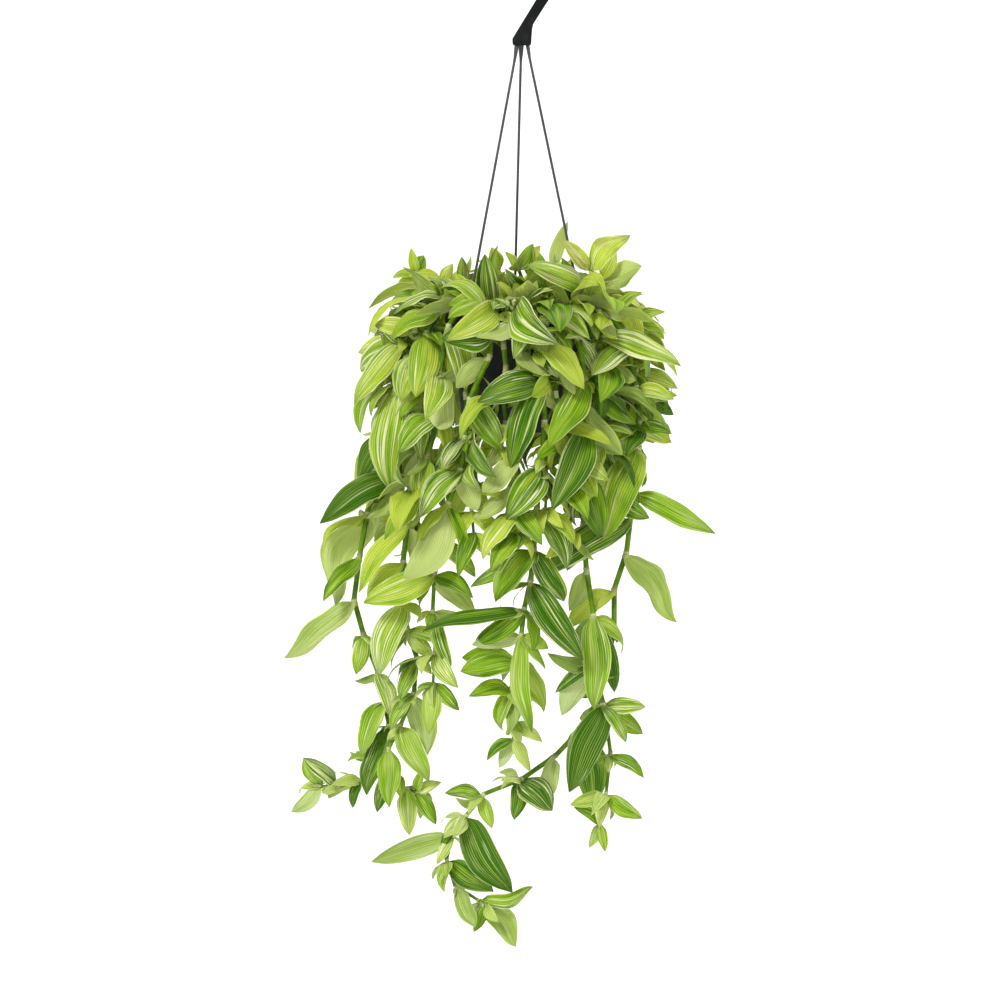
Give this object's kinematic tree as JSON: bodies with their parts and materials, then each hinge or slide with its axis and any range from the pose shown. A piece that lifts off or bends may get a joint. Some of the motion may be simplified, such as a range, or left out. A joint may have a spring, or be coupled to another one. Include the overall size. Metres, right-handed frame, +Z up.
{
  "type": "potted tradescantia",
  "caption": "Trailing spiderwort with striped pointed leaves in a round tapered hanging pot on a hanger with thin legs and a wide hook.",
  "frame": {"origin": "middle of the flat seat inside the top of the hanger's hook, where the plant hangs", "axes": "+Z up through the hook's seat, +X to the right and -Y towards the viewer of the plant's fuller front, where the long stems hang"},
  "size_m": [0.426, 0.3389, 0.9985],
  "materials": {
    "hanger_plastic": "satin",
    "pot_plastic": "satin",
    "potting_soil": "matte",
    "leafy_stem": "satin"
  },
  "bodies": {
    "root": {"hanger_hook": "hanger_plastic", "hanger_leg_back": "hanger_plastic", "hanger_leg_right": "hanger_plastic", "hanger_leg_left": "hanger_plastic", "pot": "pot_plastic", "soil": "potting_soil", "long_stem_left": "leafy_stem", "long_stem_left_front": "leafy_stem", "long_stem_front": "leafy_stem", "long_stem_middle": "leafy_stem", "long_stem_right_front": "leafy_stem", "long_stem_right": "leafy_stem", "top_stem_left": "leafy_stem", "top_stem_mid_right": "leafy_stem", "top_stem_right_front": "leafy_stem", "top_stem_right_back": "leafy_stem", "top_stem_far_left": "leafy_stem", "top_stem_back": "leafy_stem", "top_stem_middle": "leafy_stem", "rim_stem_01": "leafy_stem", "rim_stem_02": "leafy_stem", "rim_stem_03": "leafy_stem", "rim_stem_04": "leafy_stem", "rim_stem_05": "leafy_stem", "rim_stem_06": "leafy_stem", "rim_stem_07": "leafy_stem", "rim_stem_08": "leafy_stem", "rim_stem_09": "leafy_stem", "rim_stem_10": "leafy_stem", "rim_stem_11": "leafy_stem", "rim_stem_12": "leafy_stem", "rim_stem_13": "leafy_stem", "rim_stem_14": "leafy_stem", "rim_stem_15": "leafy_stem", "rim_stem_16": "leafy_stem", "rim_stem_17": "leafy_stem", "rim_stem_18": "leafy_stem", "rim_stem_19": "leafy_stem", "rim_stem_20": "leafy_stem", "rim_stem_21": "leafy_stem", "rim_stem_22": "leafy_stem", "rim_stem_23": "leafy_stem", "rim_stem_24": "leafy_stem", "rim_stem_25": "leafy_stem", "rim_stem_26": "leafy_stem", "rim_stem_27": "leafy_stem", "rim_stem_28": "leafy_stem", "rim_stem_29": "leafy_stem", "rim_stem_30": "leafy_stem"}
  },
  "joints": []
}
